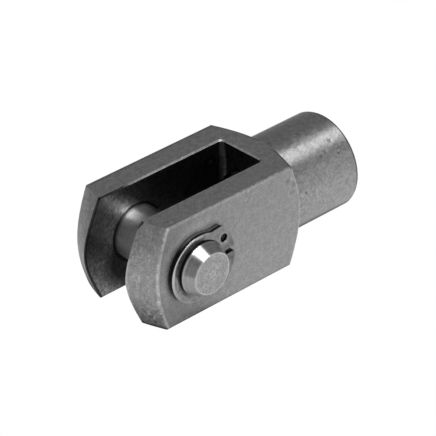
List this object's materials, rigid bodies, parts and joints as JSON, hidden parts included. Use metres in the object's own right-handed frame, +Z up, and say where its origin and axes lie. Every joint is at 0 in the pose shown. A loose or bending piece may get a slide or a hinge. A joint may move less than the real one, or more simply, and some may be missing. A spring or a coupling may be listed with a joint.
{
  "type": "rod clevis",
  "caption": "Steel rod clevis: a forked square head on a threaded round neck, with a plain pin kept across the fork by retaining rings.",
  "frame": {"origin": "on the pin's axis, at the middle of the slot, where the mating eye's centre goes", "axes": "+X along the rod's axis towards the neck, +Y along the pin, +Z up, square to both"},
  "size_m": [0.0519, 0.0274, 0.02],
  "materials": {
    "fork_steel": "machined free-cutting steel, dull grey, with worn bright edges",
    "pin_steel": "ground and turned steel, satin",
    "ring_steel": "stamped spring steel, dark grey"
  },
  "bodies": {
    "fork": {"clevis_fork": "fork_steel"},
    "pin_set": {"clevis_pin": "pin_steel", "near_retaining_ring": "ring_steel", "far_retaining_ring": "ring_steel"}
  },
  "joints": [
    {"name": "pin_turn", "type": "hinge", "parent": "fork", "child": "pin_set", "pos_m": [0, 0, 0], "axis": [0, 1, 0], "continuous": true}
  ]
}
